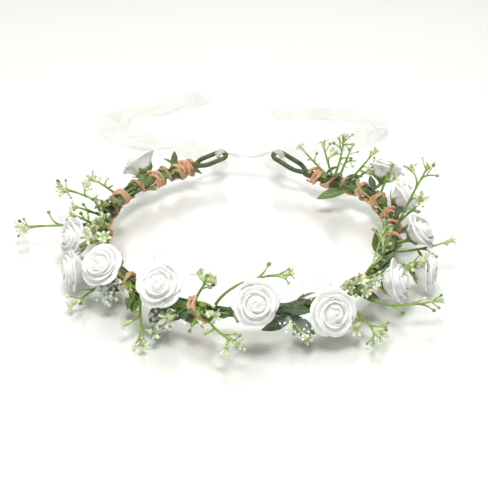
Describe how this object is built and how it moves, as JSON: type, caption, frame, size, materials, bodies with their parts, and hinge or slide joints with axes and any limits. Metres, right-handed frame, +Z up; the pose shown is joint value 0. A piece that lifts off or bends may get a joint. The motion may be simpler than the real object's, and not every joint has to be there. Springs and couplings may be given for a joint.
{
  "type": "flower crown",
  "caption": "Open wire flower crown with white foam roses, green leaves and sprigs, twine wrapping and a sheer ribbon tie at the back.",
  "frame": {"origin": "bottom centre of the whole crown's box, on the table that it lies on", "axes": "+Z up from the table, -Y towards the front of the crown, +Y towards the ribbon tails, +X to the wearer's left when the crown faces the viewer"},
  "size_m": [0.262, 0.3532, 0.0614],
  "materials": {
    "wire": "dull",
    "floral_tape": "waxed, matt",
    "paper_twine": "matt",
    "rose_foam": "matt",
    "calyx_plastic": "matt",
    "leaf_fabric": "matt, veined",
    "sprig_plastic": "satin",
    "berry_beads": "clear",
    "tulle_net": "sheer, dotted",
    "ribbon_organza": "sheer"
  },
  "bodies": {
    "left_half": {"band_tape_left": "floral_tape", "berry_spray_front": "berry_beads", "berry_spray_left": "berry_beads", "calyx_back_left": "calyx_plastic", "calyx_front_left": "calyx_plastic", "calyx_left": "calyx_plastic", "calyx_left_front": "calyx_plastic", "calyx_left_low": "calyx_plastic", "eye_tape_left": "floral_tape", "frame_wire_left": "wire", "leaf_eye_left_up": "leaf_fabric", "leaf_front_left": "leaf_fabric", "leaf_left_back": "leaf_fabric", "leaf_left_under": "leaf_fabric", "ribbon_bridge": "ribbon_organza", "ribbon_tail_left": "ribbon_organza", "rose_back_left": "rose_foam", "rose_front_left": "rose_foam", "rose_left": "rose_foam", "rose_left_front": "rose_foam", "rose_left_low": "rose_foam", "sprig_front_high": "sprig_plastic", "sprig_front_left_hang": "sprig_plastic", "sprig_front_left_up": "sprig_plastic", "sprig_front_low": "sprig_plastic", "sprig_left_fork": "sprig_plastic", "sprig_left_long": "sprig_plastic", "sprig_left_upper": "sprig_plastic", "tulle_front_left": "tulle_net", "twine_left": "paper_twine"},
    "right_half": {"band_tape_right": "floral_tape", "calyx_back_right": "calyx_plastic", "calyx_front": "calyx_plastic", "calyx_front_right": "calyx_plastic", "calyx_right": "calyx_plastic", "calyx_right_back": "calyx_plastic", "calyx_right_front": "calyx_plastic", "calyx_right_low": "calyx_plastic", "eye_tape_right": "floral_tape", "frame_wire_right": "wire", "leaf_back_right_hang": "leaf_fabric", "leaf_back_right_top": "leaf_fabric", "leaf_front_right_low": "leaf_fabric", "leaf_front_right_tip": "leaf_fabric", "leaf_right_inner": "leaf_fabric", "ribbon_tail_right": "ribbon_organza", "rose_back_right": "rose_foam", "rose_front": "rose_foam", "rose_front_right": "rose_foam", "rose_right": "rose_foam", "rose_right_back": "rose_foam", "rose_right_front": "rose_foam", "rose_right_low": "rose_foam", "sprig_back_right_fan": "sprig_plastic", "sprig_front_right_low": "sprig_plastic", "sprig_right_front_arc": "sprig_plastic", "sprig_right_inner": "sprig_plastic", "sprig_right_tall": "sprig_plastic", "tulle_front_right": "tulle_net", "twine_right": "paper_twine"}
  },
  "joints": [
    {"name": "band_flex", "type": "hinge", "parent": "left_half", "child": "right_half", "pos_m": [0.01592, -0.14514, 0.0145], "axis": [0, 0, 1], "range_deg": [-14, 6], "deforming": ["ribbon_bridge"]}
  ]
}
